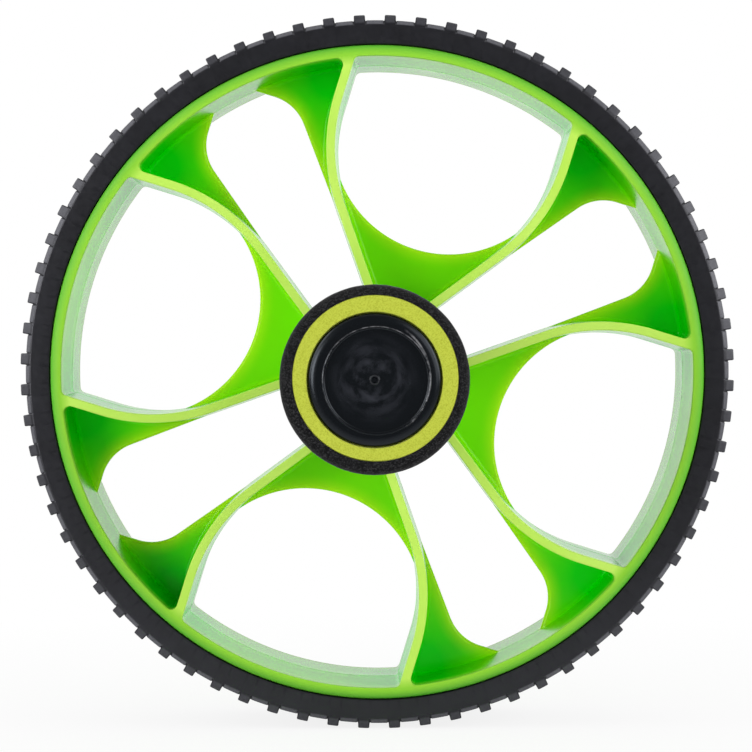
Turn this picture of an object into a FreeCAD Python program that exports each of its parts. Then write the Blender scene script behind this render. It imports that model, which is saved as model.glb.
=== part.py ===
import FreeCAD, Part
import math
import os
import Sketcher

# Ab wheel roller: one wide moulded wheel that spins freely on a steel tube axle with a foam grip at each end.
# The origin is the centre of the wheel on the axle's centre line, the axle lies along Y and Z points up.
# Lengths are in millimetres, angles in degrees.

SIZES = [
    ("wheel_diameter", 185.0, "wheel over the tread lugs"),
    ("rest_angle", 27.5, "turn of the wheel at rest"),
    ("lug_count", 72, "tread lugs round the tyre"),
    ("lug_height", 1.4, "lug above the tread"),
    ("lug_width", 2.9, "lug along the tread"),
    ("lug_slope", 0.8, "lean of each lug end"),
    ("tyre_wall", 6.5, "tread above the rim flange"),
    ("tyre_inset", 1.5, "tyre side wall inside the rim face"),
    ("tyre_chamfer", 0.9, "shoulder chamfer of the tyre"),
    ("tyre_gap", 0.15, "room between tyre and rim"),
    ("rim_width", 42.0, "rim from face to face"),
    ("rim_wall", 3.4, "rim at the middle, flange included"),
    ("rim_round", 2.2, "rounded outer edge of the rim"),
    ("rim_lip", 0.5, "rounded inner edge of the rim"),
    ("flange_width", 3.0, "flange each side of the tyre"),
    ("flange_height", 1.4, "flange above the tyre seat"),
    ("draft_angle", 1.2, "mould draft of rim and ribs"),
    ("window_angle", 41.85, "wide window between its ribs at the rim, seen from the axle"),
    ("rib_thickness", 3.1, "rib at its root, halfway across"),
    ("rib_bend_radius", 43.0, "bend on the wide window's side"),
    ("rib_bend_inset", 16.1, "bend centre inside the rim"),
    ("rib_leg_angle", 36.5, "straight leg to the window's axis"),
    ("rib_recess", 0.1, "rib below the rim face"),
    ("web_thickness", 2.6, "web halfway across the wheel"),
    ("web_round", 0.9, "rounded edge of the web"),
    ("bulb_inset", 0.3, "round end of a narrow opening inside the rim"),
    ("bulb_spread", 1.3, "bulb centre from the opening's axis"),
    ("bulb_mouth", 9.8, "narrow opening at the rim"),
    ("bulb_land", 6.88, "web between the bulb and a wide window's arch"),
    ("neck_width", 12.27, "narrow opening at the hub"),
    ("hub_wall", 5.35, "hub barrel round a bush"),
    ("hub_stand", 0.5, "hub beyond the rim face"),
    ("hub_shoulder", 1.2, "step behind each bush"),
    ("bush_wall", 2.5, "bush round the axle"),
    ("bush_length", 14.0, "bush inside the hub"),
    ("bush_rim", 2.9, "bush flange beyond its barrel"),
    ("bush_flange", 2.0, "bush flange thickness"),
    ("running_clearance", 0.08, "radial, bush on axle"),
    ("end_play", 0.3, "side play of the wheel, each side"),
    ("fit_clearance", 0.05, "radial, pieces fixed together"),
    ("washer_band", 6.4, "thrust washer, bore to edge"),
    ("washer_thickness", 1.5, "thrust washer thickness"),
    ("collar_wall", 6.4, "stop collar, bore to edge"),
    ("collar_length", 10.0, "stop collar along the axle"),
    ("collar_round", 1.0, "rounded edges of the collar"),
    ("screw_diameter", 5.0, "set screw of the collar"),
    ("screw_sink", 0.6, "set screw below the collar"),
    ("screw_socket", 2.5, "hexagon socket across flats"),
    ("socket_depth", 2.4, "hexagon socket depth"),
    ("tube_diameter", 25.0, "axle tube"),
    ("tube_wall", 1.5, "axle tube wall"),
    ("grip_length", 112.7, "foam grip along the axle"),
    ("core_wall", 4.85, "inner foam layer"),
    ("sleeve_wall", 2.55, "outer foam layer"),
    ("grip_round", 2.2, "rounded ends of the grip"),
    ("cap_overhang", 1.5, "end cap flange beyond the tube"),
    ("cap_flange", 2.6, "end cap flange thickness"),
    ("cap_stand", 0.6, "end cap beyond the foam"),
    ("cap_gap", 0.25, "room between end cap and foam"),
    ("cap_round", 1.1, "rounded edge of the end cap"),
    ("cap_spigot", 14.0, "end cap inside the tube"),
    ("cap_wall", 2.0, "end cap spigot wall"),
    ("cap_border", 2.85, "flat border round the dish"),
    ("cap_dish_depth", 0.9, "depth of the dish"),
    ("gate_diameter", 1.8, "moulding gate in the dish"),
    ("gate_height", 0.25, "gate above the dish"),
]

# The wheel has four wide windows with a narrow one between each pair.
WINDOWS = 4
HALF_PITCH = 180.0 / WINDOWS

# The web's arch in a wide window ends this far into the ribs, as a share of their thickness.
ARCH_BITE = "2 / 3"

# A rounded edge takes at most this share of the wall that it is on.
ROUND_SHARE = 0.9

# Pieces on the left lie on +Y. The right side is the same, turned half a turn about Z.
SIDES = (("left", 0.0), ("right", 180.0))

# Edges are found by their sizes, to within this distance.
MATCH = 1e-5

AXIS_Y = FreeCAD.Vector(0, 1, 0)
AXIS_Z = FreeCAD.Vector(0, 0, 1)

# Points of a line or an arc in a sketch, numbered from 1, and the sketch's own origin.
START, END, CENTRE = range(1, 4)
ORIGIN = (-1, START)

doc = FreeCAD.newDocument("AbWheel")
sheet = doc.addObject("Spreadsheet::Sheet", "Sizes")
for row, (alias, number, meaning) in enumerate(SIZES, start=1):
    sheet.set(f"A{row}", meaning)
    sheet.set(f"B{row}", str(number))
    sheet.setAlias(f"B{row}", alias)
doc.recompute()


def named(formula):
    """Put the formula in brackets, with each <size> in it read from the sheet."""
    return "(" + formula.replace("<", "Sizes.").replace(">", "") + ")"


def number_of(formula):
    """The number that a formula gives with the sheet's sizes."""
    return float(sheet.evalExpression(formula))


# Distances along the axle from the middle of the wheel.
RIM_Y = named("<rim_width> / 2")
FLANGE_Y = named(f"{RIM_Y} - <flange_width>")
RIB_Y = named(f"{RIM_Y} - <rib_recess>")
HUB_Y = named(f"{RIM_Y} + <hub_stand>")
BUSH_INNER_Y = named(f"{HUB_Y} - <bush_length>")
BUSH_Y = named(f"{HUB_Y} + <bush_flange>")
WASHER_Y = named(f"{BUSH_Y} + <end_play>")
COLLAR_Y = named(f"{WASHER_Y} + <washer_thickness>")
SCREW_Y = named(f"{COLLAR_Y} + <collar_length> / 2")
GRIP_Y = named(f"{COLLAR_Y} + <collar_length>")
GRIP_END_Y = named(f"{GRIP_Y} + <grip_length>")
CAP_END_Y = named(f"{GRIP_END_Y} + <cap_stand>")
TUBE_END_Y = named(f"{CAP_END_Y} - <cap_flange>")

# Radii from the axle outwards.
TUBE_R = named("<tube_diameter> / 2")
TUBE_BORE_R = named(f"{TUBE_R} - <tube_wall>")
FIXED_BORE_R = named(f"{TUBE_R} + <fit_clearance>")
CAP_R = named(f"{TUBE_R} + <cap_overhang>")
CORE_R = named(f"{FIXED_BORE_R} + <core_wall>")
SLEEVE_BORE_R = named(f"{CORE_R} + <fit_clearance>")
SLEEVE_R = named(f"{SLEEVE_BORE_R} + <sleeve_wall>")
COLLAR_R = named(f"{FIXED_BORE_R} + <collar_wall>")
BUSH_BORE_R = named(f"{TUBE_R} + <running_clearance>")
BUSH_R = named(f"{BUSH_BORE_R} + <bush_wall>")
BUSH_SEAT_R = named(f"{BUSH_R} + <fit_clearance>")
HUB_BORE_R = named(f"{BUSH_R} - <hub_shoulder>")
HUB_R = named(f"{BUSH_SEAT_R} + <hub_wall>")

# Radii from the tread inwards.
CROWN_R = named("<wheel_diameter> / 2")
TREAD_R = named(f"{CROWN_R} - <lug_height>")
FLANGE_R = named(f"{TREAD_R} - <tyre_wall>")
SEAT_R = named(f"{FLANGE_R} - <flange_height>")
RIM_BORE_R = named(f"{FLANGE_R} - <rim_wall>")
# The mould draft opens the rim from its middle to its faces.
RIM_MOUTH_R = named(f"{RIM_BORE_R} + {RIM_Y} * tan(<draft_angle> * 1 deg)")

# Ribs and web end inside the walls of the hub and the rim.
HUB_ROOT_R = named(f"({HUB_R} + {BUSH_SEAT_R}) / 2")
RIM_ROOT_R = named(f"({RIM_MOUTH_R} + {SEAT_R}) / 2")

# A rib's bend has its centre across the axis of its wide window.
WINDOW_HALF = named(f"{RIM_BORE_R} * sin(<window_angle> / 2 * 1 deg)")
BEND_ACROSS = named(f"<rib_bend_radius> - {WINDOW_HALF}")
BEND_HEIGHT = named(f"{RIM_BORE_R} - <rib_bend_inset>")

# The arch of the web in a wide window has its centre level with the bends of the ribs.
ARCH_R = named(f"{WINDOW_HALF} + <rib_thickness> * {ARCH_BITE}")

# Seen from a narrow opening, the arch lies across and below the bulb at the opening's end.
BULB_TOP = named(f"{RIM_BORE_R} - <bulb_inset>")
ARCH_ACROSS = named(f"{BEND_HEIGHT} * sin({HALF_PITCH} deg) - <bulb_spread>")
ARCH_BELOW = named(f"{BULB_TOP} - {BEND_HEIGHT} * cos({HALF_PITCH} deg)")
BULB_REACH = named(f"{ARCH_R} + <bulb_land>")
# The bulb is as large as its land to the arch leaves room for.
BULB_R = named(f"({ARCH_ACROSS}^2 + {ARCH_BELOW}^2 - {BULB_REACH}^2) / (2 * ({BULB_REACH} + {ARCH_BELOW}))")
BULB_HEIGHT = named(f"{BULB_TOP} - {BULB_R}")
# A straight flank runs from the neck at the hub to the bulb, leaning away from the opening's axis.
NECK_HALF = named("<neck_width> / 2")
NECK_HEIGHT = named(f"sqrt({HUB_ROOT_R}^2 - {NECK_HALF}^2)")
FLANK_RISE = named(f"{BULB_HEIGHT} - {NECK_HEIGHT}")
FLANK_RUN = named(f"{NECK_HALF} - <bulb_spread>")
FLANK_TURN = named(f"asin({BULB_R} / hypot({FLANK_RISE}; {FLANK_RUN})) - atan({FLANK_RUN} / {FLANK_RISE})")
# The web left between the flank and the arch.
FLANK_OVER = named(f"({BEND_HEIGHT} * sin({HALF_PITCH} deg) - {NECK_HALF}) * cos{FLANK_TURN}")
FLANK_UNDER = named(f"({BEND_HEIGHT} * cos({HALF_PITCH} deg) - {NECK_HEIGHT}) * sin{FLANK_TURN}")
FLANK_LAND = named(f"{FLANK_OVER} - {FLANK_UNDER} - {ARCH_R}")


def limited(size, wall):
    """A rounding, no larger than its wall leaves room for."""
    return named(f"min({named(size)}; {ROUND_SHARE} * {wall})")


def new_body(label):
    body = doc.addObject("PartDesign::Body", label)
    body.Label = label
    return body


def origin_of(body, role):
    """One of the planes or axes that a body is drawn on."""
    return next(entry for entry in body.Origin.OriginFeatures if entry.Role == role)


def new_sketch(body, name, role):
    sketch = body.newObject("Sketcher::SketchObject", f"{body.Label}_{name}")
    sketch.AttachmentSupport = [(origin_of(body, role), "")]
    sketch.MapMode = "FlatFace"
    return sketch


def new_feature(body, kind, name, profile=None):
    feature = body.newObject(f"PartDesign::{kind}", f"{body.Label}_{name}")
    if profile is not None:
        feature.Profile = profile
    return feature


def dimension(sketch, formula, kind, *targets):
    """A dimension of a sketch that follows a formula."""
    index = sketch.addConstraint(Sketcher.Constraint(kind, *targets, number_of(formula)))
    sketch.setExpression(f"Constraints[{index}]", formula)


def direction(sketch, formula, line):
    """The direction of a line, in degrees from the sketch's horizontal."""
    radians = math.radians(number_of(formula))
    index = sketch.addConstraint(Sketcher.Constraint("Angle", line, radians))
    sketch.setExpression(f"Constraints[{index}]", f"{formula} * 1 deg")


def place(sketch, shape, point, across, along):
    """Fix a point of a sketch by two formulas; a formula of 0 puts it on the sketch's axis."""
    for formula, kind, axis in ((across, "DistanceX", -2), (along, "DistanceY", -1)):
        if formula == "0":
            sketch.addConstraint(Sketcher.Constraint("PointOnObject", shape, point, axis))
        else:
            dimension(sketch, formula, kind, shape, point)


def meet(sketch, first, first_end, second, second_end, kind="Coincident"):
    """Join two ends, smoothly where the kind is Tangent."""
    sketch.addConstraint(Sketcher.Constraint(kind, first, first_end, second, second_end))


def segment(sketch, start, finish):
    return sketch.addGeometry(Part.LineSegment(FreeCAD.Vector(*start, 0), FreeCAD.Vector(*finish, 0)))


def arc(sketch, centre, radius, start, finish):
    """An arc, anticlockwise between two directions in degrees."""
    circle = Part.Circle(FreeCAD.Vector(*centre, 0), AXIS_Z, radius)
    return sketch.addGeometry(Part.ArcOfCircle(circle, math.radians(start), math.radians(finish)))


def circle(sketch, along, radius):
    """A whole circle on the sketch's vertical axis, with its centre and radius as formulas."""
    centre = FreeCAD.Vector(0, number_of(along), 0)
    shape = sketch.addGeometry(Part.Circle(centre, AXIS_Z, number_of(radius)))
    place(sketch, shape, CENTRE, "0", along)
    dimension(sketch, radius, "Radius", shape)


def outline(sketch, corners):
    """A closed outline of straight lines through corners given by formulas."""
    points = [(number_of(across), number_of(along)) for across, along in corners]
    lines = [segment(sketch, point, points[(index + 1) % len(points)]) for index, point in enumerate(points)]
    for index, line in enumerate(lines):
        meet(sketch, lines[index - 1], END, line, START)
        place(sketch, line, START, *corners[index])


def both_ways(half):
    """Corners of an outline that is the same on both sides of the wheel's middle."""
    return half + [(radius, f"-{along}") for radius, along in reversed(half)]


def turn(body, name, *outlines):
    """Turn closed outlines of (radius, distance along the axle) about the axle."""
    sketch = new_sketch(body, f"{name}_outline", "XY_Plane")
    for corners in outlines:
        outline(sketch, corners)
    feature = new_feature(body, "Revolution", name, sketch)
    feature.ReferenceAxis = (sketch, ["V_Axis"])
    feature.Angle = 360.0
    doc.recompute()
    return feature


def round_edges(body, base, name, radius, wanted):
    """Round the edges of a feature that a test picks out."""
    edges = [f"Edge{index}" for index, edge in enumerate(base.Shape.Edges, start=1) if wanted(edge)]
    feature = new_feature(body, "Fillet", name)
    feature.Base = (base, edges)
    feature.setExpression("Radius", radius)
    doc.recompute()
    return feature


def on_circles(*circles):
    """A test for circular edges of given (radius, distance along the axle)."""
    targets = [(number_of(radius), number_of(along)) for radius, along in circles]

    def wanted(edge):
        if not isinstance(edge.Curve, Part.Circle):
            return False
        found = (edge.Curve.Radius, edge.Curve.Center.y)
        return any(math.dist(found, target) < MATCH for target in targets)
    return wanted


def of_radius(*radii):
    """A test for circular edges of given radii, wherever they are."""
    targets = [number_of(radius) for radius in radii]

    def wanted(edge):
        if not isinstance(edge.Curve, Part.Circle):
            return False
        return any(abs(edge.Curve.Radius - target) < MATCH for target in targets)
    return wanted


def check_cut(feature, before):
    """A cut that takes nothing away points the wrong way."""
    doc.recompute()
    if feature.Shape.Volume >= before:
        raise RuntimeError(f"{feature.Label} cuts nothing")


def repeat(body, name, originals, count):
    """Repeat features evenly round the axle."""
    feature = new_feature(body, "PolarPattern", name)
    feature.Originals = originals
    feature.Axis = (origin_of(body, "Y_Axis"), [""])
    feature.Angle = 360.0
    feature.setExpression("Occurrences", count)
    body.Tip = feature
    doc.recompute()
    return feature


def turn_at_rest(body):
    """Turn a piece of the wheel so that the wheel stands on two lugs."""
    body.Placement = FreeCAD.Placement(FreeCAD.Vector(), FreeCAD.Rotation(AXIS_Y, HALF_PITCH))
    body.setExpression("Placement.Rotation.Angle", named("360 - <rest_angle>") + " * 1 deg")


def put_on_side(body, angle):
    body.Placement = FreeCAD.Placement(FreeCAD.Vector(), FreeCAD.Rotation(AXIS_Z, angle))


def on_wide_axis(body, name):
    """A sketch across the wheel whose vertical is the axis of a wide window."""
    sketch = new_sketch(body, name, "XZ_Plane")
    turned = FreeCAD.Rotation(AXIS_Z, HALF_PITCH)
    sketch.AttachmentOffset = FreeCAD.Placement(FreeCAD.Vector(), turned)
    return sketch


def narrow_opening(body):
    """The spoon-shaped hole of a narrow window, along the sketch's vertical from the hub to the rim."""
    sketch = new_sketch(body, "narrow_opening", "XZ_Plane")
    radius = number_of(BULB_R)
    spread = number_of(named("<bulb_spread>"))
    flank = number_of(named(f"{FLANK_TURN} / 1 deg"))
    mouth = number_of(named("<bulb_mouth>")) / 2
    neck = number_of(NECK_HALF)
    middle = number_of(BULB_HEIGHT)
    hub, rim = number_of(HUB_ROOT_R), number_of(RIM_ROOT_R)
    hub_bow = arc(sketch, (0, 0), hub, 70.0, 110.0)
    rim_bow = arc(sketch, (0, 0), rim, 85.0, 95.0)
    for bow, formula in ((hub_bow, HUB_ROOT_R), (rim_bow, RIM_ROOT_R)):
        meet(sketch, bow, CENTRE, *ORIGIN)
        dimension(sketch, formula, "Radius", bow)
    for sign in (1, -1):
        bow_end = START if sign > 0 else END
        # From the hub up the flank, round the bulb and in to the mouth at the rim.
        leg = segment(sketch, (sign * neck, hub), (sign * (spread + radius), middle))
        if sign > 0:
            bulb = arc(sketch, (spread, middle), radius, -flank, 45.0)
            low, high = START, END
        else:
            bulb = arc(sketch, (-spread, middle), radius, 135.0, 180.0 + flank)
            low, high = END, START
        tip = segment(sketch, (sign * (spread + radius / 2), middle + radius), (sign * mouth, rim))
        place(sketch, bulb, CENTRE, named(f"{sign} * <bulb_spread>"), BULB_HEIGHT)
        dimension(sketch, BULB_R, "Radius", bulb)
        meet(sketch, leg, END, bulb, low, "Tangent")
        meet(sketch, bulb, high, tip, START, "Tangent")
        dimension(sketch, named(f"{sign} * {NECK_HALF}"), "DistanceX", leg, START)
        dimension(sketch, named(f"{sign} * <bulb_mouth> / 2"), "DistanceX", tip, END)
        meet(sketch, leg, START, hub_bow, bow_end)
        meet(sketch, tip, END, rim_bow, bow_end)
    return sketch


def wide_opening(body):
    """The hole of a wide window: an arch towards the hub and straight sides inside the ribs."""
    sketch = on_wide_axis(body, "wide_opening")
    height, side = number_of(BEND_HEIGHT), number_of(ARCH_R)
    rim = number_of(RIM_ROOT_R)
    top = math.sqrt(rim ** 2 - side ** 2)
    lean = math.degrees(math.atan2(top, side))
    arch = arc(sketch, (0, height), side, 180.0, 360.0)
    place(sketch, arch, CENTRE, "0", BEND_HEIGHT)
    dimension(sketch, ARCH_R, "Radius", arch)
    bow = arc(sketch, (0, 0), rim, lean, 180.0 - lean)
    meet(sketch, bow, CENTRE, *ORIGIN)
    dimension(sketch, RIM_ROOT_R, "Radius", bow)
    for sign, arch_end, bow_end in ((1, END, START), (-1, START, END)):
        wall = segment(sketch, (sign * side, height), (sign * side, top))
        sketch.addConstraint(Sketcher.Constraint("Vertical", wall))
        meet(sketch, arch, arch_end, wall, START, "Tangent")
        meet(sketch, wall, END, bow, bow_end)
    return sketch


def web_plate(body):
    """The thin plate halfway across the wheel, with a rounded opening in every window."""
    rings = new_sketch(body, "web_rings", "XZ_Plane")
    for radius in (RIM_ROOT_R, HUB_ROOT_R):
        circle(rings, "0", radius)
    plate = new_feature(body, "Pad", "web", rings)
    plate.Midplane = True
    plate.setExpression("Length", named("<web_thickness>"))
    doc.recompute()
    cuts = []
    for draw in (narrow_opening, wide_opening):
        before = body.Tip.Shape.Volume
        cut = new_feature(body, "Pocket", draw.__name__ + "_cut", draw(body))
        cut.Midplane = True
        cut.setExpression("Length", named("<web_thickness> * 2"))
        check_cut(cut, before)
        cuts.append(cut)
    openings = repeat(body, "openings", cuts, str(WINDOWS))
    wall = named(f"min(<web_thickness>; {FLANK_LAND}) / 2")
    radius = limited("<web_round>", wall)
    round_edges(body, openings, "web_edges", radius, of_radius(ARCH_R, BULB_R))


def rib_outline(body, name, sign):
    """A rib on one side of a wide window: straight at the rim, bent, then straight to the hub."""
    sketch = on_wide_axis(body, name)
    across, height = sign * number_of(BEND_ACROSS), number_of(BEND_HEIGHT)
    lean = number_of(named("<rib_leg_angle>"))
    rim, hub = number_of(RIM_ROOT_R), number_of(HUB_ROOT_R)
    ends = []
    for bend_radius in (named("<rib_bend_radius>"), named("<rib_bend_radius> + <rib_thickness>")):
        bend = number_of(bend_radius)
        side = sign * bend - across
        top = (side, math.sqrt(rim ** 2 - side ** 2))
        drop = math.radians(lean)
        low = (sign * bend * math.cos(drop) - across, height - bend * math.sin(drop))
        inwards = hub / math.hypot(*low)
        root = (low[0] * inwards, low[1] * inwards)
        wall = segment(sketch, top, (side, height))
        if sign > 0:
            curve = arc(sketch, (-across, height), bend, -lean, 0.0)
            high_end, low_end = END, START
        else:
            curve = arc(sketch, (-across, height), bend, 180.0, 180.0 + lean)
            high_end, low_end = START, END
        leg = segment(sketch, low, root)
        sketch.addConstraint(Sketcher.Constraint("Vertical", wall))
        place(sketch, curve, CENTRE, f"-{sign} * {BEND_ACROSS}", BEND_HEIGHT)
        dimension(sketch, bend_radius, "Radius", curve)
        meet(sketch, wall, END, curve, high_end, "Tangent")
        meet(sketch, curve, low_end, leg, START, "Tangent")
        direction(sketch, named(f"-90 - {sign} * <rib_leg_angle>"), leg)
        dimension(sketch, RIM_ROOT_R, "Distance", wall, START, *ORIGIN)
        dimension(sketch, HUB_ROOT_R, "Distance", leg, END, *ORIGIN)
        ends.append(((wall, START, top), (leg, END, root)))
    for (first, first_end, start), (second, second_end, finish) in zip(*ends):
        close = segment(sketch, start, finish)
        meet(sketch, first, first_end, close, START)
        meet(sketch, second, second_end, close, END)
    return sketch


def wheel_body():
    """Rim, curved ribs, web and hub, moulded in one piece."""
    body = new_body("wheel_body")
    web_plate(body)
    half_rim = [(RIM_MOUTH_R, RIM_Y), (FLANGE_R, RIM_Y), (FLANGE_R, FLANGE_Y), (SEAT_R, FLANGE_Y)]
    half_hub = [(HUB_BORE_R, BUSH_INNER_Y), (BUSH_SEAT_R, BUSH_INNER_Y), (BUSH_SEAT_R, HUB_Y), (HUB_R, HUB_Y)]
    rim = [(RIM_BORE_R, "0")] + both_ways(half_rim)
    rings = turn(body, "rim_and_hub", rim, both_ways(half_hub))
    face = named(f"{FLANGE_R} - {RIM_MOUTH_R} - <rim_lip>")
    outer = on_circles((FLANGE_R, RIM_Y), (FLANGE_R, f"-{RIM_Y}"))
    inner = on_circles((RIM_MOUTH_R, RIM_Y), (RIM_MOUTH_R, f"-{RIM_Y}"))
    rounded = round_edges(body, rings, "rim_edges", limited("<rim_round>", face), outer)
    round_edges(body, rounded, "rim_lips", named("<rim_lip>"), inner)
    pads = []
    for hand, sign in (("one", 1), ("other", -1)):
        sketch = rib_outline(body, f"{hand}_rib", sign)
        for face, backwards in (("front", False), ("back", True)):
            pad = new_feature(body, "Pad", f"{hand}_rib_{face}", sketch)
            pad.Reversed = backwards
            pad.setExpression("Length", RIB_Y)
            pad.setExpression("TaperAngle", named("-<draft_angle>") + " * 1 deg")
            pads.append(pad)
    repeat(body, "ribs", pads, str(WINDOWS))
    turn_at_rest(body)


def tyre():
    """Rubber tyre seated between the rim's flanges, with block lugs across the tread."""
    body = new_body("tyre")
    wall_y = named(f"{RIM_Y} - <tyre_inset>")
    bead_y = named(f"{FLANGE_Y} - <tyre_gap>")
    flange_r = named(f"{FLANGE_R} + <tyre_gap>")
    turn(body, "band", both_ways([
        (named(f"{SEAT_R} + <tyre_gap>"), bead_y),
        (flange_r, bead_y),
        (flange_r, wall_y),
        (named(f"{TREAD_R} - <tyre_chamfer>"), wall_y),
        (TREAD_R, named(f"{wall_y} - <tyre_chamfer>")),
    ]))
    # Each lug runs from shoulder to shoulder, with its ends a little way down the chamfers.
    foot_y = named(f"{wall_y} - <tyre_chamfer> / 3")
    foot_r = named(f"{TREAD_R} - <tyre_chamfer> * 2 / 3")
    crown_y = named(f"{foot_y} - <lug_slope>")
    sketch = new_sketch(body, "lug_side", "YZ_Plane")
    outline(sketch, [(foot_y, foot_r), (crown_y, CROWN_R), (f"-{crown_y}", CROWN_R), (f"-{foot_y}", foot_r)])
    lug = new_feature(body, "Pad", "lug", sketch)
    lug.Midplane = True
    lug.setExpression("Length", named("<lug_width>"))
    repeat(body, "lugs", [lug], named("<lug_count>"))
    turn_at_rest(body)


def axle_tube():
    """Steel tube from one end cap to the other."""
    body = new_body("axle_tube")
    turn(body, "tube", both_ways([(TUBE_BORE_R, TUBE_END_Y), (TUBE_R, TUBE_END_Y)]))


def hub_bush(side, angle):
    """Flanged plain bush pressed into the hub, running on the axle."""
    body = new_body(f"hub_bush_{side}")
    flange_r = named(f"{BUSH_R} + <bush_rim>")
    turn(body, "bush", [
        (BUSH_BORE_R, BUSH_INNER_Y),
        (BUSH_R, BUSH_INNER_Y),
        (BUSH_R, HUB_Y),
        (flange_r, HUB_Y),
        (flange_r, BUSH_Y),
        (BUSH_BORE_R, BUSH_Y),
    ])
    put_on_side(body, angle)


def thrust_washer(side, angle):
    """Flat washer between the bush flange and the stop collar."""
    body = new_body(f"thrust_washer_{side}")
    outer_r = named(f"{FIXED_BORE_R} + <washer_band>")
    turn(body, "washer", [
        (FIXED_BORE_R, WASHER_Y),
        (outer_r, WASHER_Y),
        (outer_r, COLLAR_Y),
        (FIXED_BORE_R, COLLAR_Y),
    ])
    put_on_side(body, angle)


def stop_collar(side, angle):
    """Collar that keeps the wheel in the middle of the axle, with a screw hole on top."""
    body = new_body(f"stop_collar_{side}")
    ring = turn(body, "ring", [
        (FIXED_BORE_R, COLLAR_Y),
        (COLLAR_R, COLLAR_Y),
        (COLLAR_R, GRIP_Y),
        (FIXED_BORE_R, GRIP_Y),
    ])
    rims = on_circles((COLLAR_R, COLLAR_Y), (COLLAR_R, GRIP_Y))
    rounded = round_edges(body, ring, "edges", named("<collar_round>"), rims)
    sketch = new_sketch(body, "hole_outline", "XY_Plane")
    circle(sketch, SCREW_Y, named("<screw_diameter> / 2 + <fit_clearance>"))
    before = rounded.Shape.Volume
    hole = new_feature(body, "Pocket", "hole", sketch)
    hole.Reversed = True
    hole.setExpression("Length", COLLAR_R)
    check_cut(hole, before)
    put_on_side(body, angle)


def collar_screw(side, angle):
    """Set screw with a hexagon socket, from the axle tube to just below the collar's surface."""
    body = new_body(f"collar_screw_{side}")
    top = named(f"{COLLAR_R} - <screw_sink>")
    sketch = new_sketch(body, "shank_outline", "XY_Plane")
    sketch.setExpression("AttachmentOffset.Base.z", FIXED_BORE_R)
    circle(sketch, SCREW_Y, named("<screw_diameter> / 2"))
    shank = new_feature(body, "Pad", "shank", sketch)
    shank.setExpression("Length", named(f"{top} - {FIXED_BORE_R}"))
    doc.recompute()
    hexagon = new_sketch(body, "socket_outline", "XY_Plane")
    hexagon.setExpression("AttachmentOffset.Base.z", top)
    corner = named("<screw_socket> / 2 / cos(30 deg)")
    turns = [f"{60 * step} deg" for step in range(6)]
    outline(hexagon, [(f"{corner} * cos({way})", f"{SCREW_Y} + {corner} * sin({way})") for way in turns])
    before = shank.Shape.Volume
    socket = new_feature(body, "Pocket", "socket", hexagon)
    socket.setExpression("Length", named("<socket_depth>"))
    check_cut(socket, before)
    put_on_side(body, angle)


def grip_core(side, angle):
    """Inner foam layer on the axle tube, opened at its outer end for the end cap's flange."""
    body = new_body(f"grip_core_{side}")
    seat_r = named(f"{CAP_R} + <cap_gap>")
    turn(body, "layer", [
        (FIXED_BORE_R, GRIP_Y),
        (CORE_R, GRIP_Y),
        (CORE_R, GRIP_END_Y),
        (seat_r, GRIP_END_Y),
        (seat_r, TUBE_END_Y),
        (FIXED_BORE_R, TUBE_END_Y),
    ])
    put_on_side(body, angle)


def grip_sleeve(side, angle):
    """Outer foam layer with rounded ends."""
    body = new_body(f"grip_sleeve_{side}")
    layer = turn(body, "layer", [
        (SLEEVE_BORE_R, GRIP_Y),
        (SLEEVE_R, GRIP_Y),
        (SLEEVE_R, GRIP_END_Y),
        (SLEEVE_BORE_R, GRIP_END_Y),
    ])
    ends = on_circles((SLEEVE_R, GRIP_Y), (SLEEVE_R, GRIP_END_Y))
    round_edges(body, layer, "ends", limited("<grip_round>", named("<sleeve_wall>")), ends)
    put_on_side(body, angle)


def end_cap(side, angle):
    """Plug that closes the tube: a hollow spigot, a flange over the tube's end and a dished face."""
    body = new_body(f"end_cap_{side}")
    spigot_r = named(f"{TUBE_BORE_R} - <fit_clearance>")
    hollow_r = named(f"{spigot_r} - <cap_wall>")
    spigot_y = named(f"{TUBE_END_Y} - <cap_spigot>")
    dish_r = named(f"{CAP_R} - <cap_border>")
    dish_y = named(f"{CAP_END_Y} - <cap_dish_depth>")
    gate_r = named("<gate_diameter> / 2")
    gate_y = named(f"{dish_y} + <gate_height>")
    plug = turn(body, "plug", [
        ("0", TUBE_END_Y),
        (hollow_r, TUBE_END_Y),
        (hollow_r, spigot_y),
        (spigot_r, spigot_y),
        (spigot_r, TUBE_END_Y),
        (CAP_R, TUBE_END_Y),
        (CAP_R, CAP_END_Y),
        (dish_r, CAP_END_Y),
        (dish_r, dish_y),
        (gate_r, dish_y),
        (gate_r, gate_y),
        ("0", gate_y),
    ])
    rounding = limited("<cap_round>", named("<cap_border>"))
    round_edges(body, plug, "edge", rounding, on_circles((CAP_R, CAP_END_Y)))
    put_on_side(body, angle)


wheel_body()
tyre()
axle_tube()
for side, angle in SIDES:
    hub_bush(side, angle)
    thrust_washer(side, angle)
    stop_collar(side, angle)
    collar_screw(side, angle)
    grip_core(side, angle)
    grip_sleeve(side, angle)
    end_cap(side, angle)
doc.recompute()

for entry in doc.Objects:
    if "Invalid" in entry.State or "Error" in entry.State:
        raise RuntimeError(f"{entry.Label} failed: {entry.State}")
pieces = [entry for entry in doc.Objects if entry.TypeId == "PartDesign::Body"]
for piece in pieces:
    if piece.Shape.isNull() or not piece.Shape.isValid() or len(piece.Shape.Solids) != 1:
        raise RuntimeError(f"{piece.Label} is not one sound solid")

os.makedirs("parts", exist_ok=True)
for piece in pieces:
    piece.Shape.exportStep(f"parts/{piece.Label}.step")
    print(f"{piece.Label}: {piece.Shape.Volume:.1f} mm3")
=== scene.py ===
import math

import bmesh
import bpy
from mathutils import Matrix, Vector, noise


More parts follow.
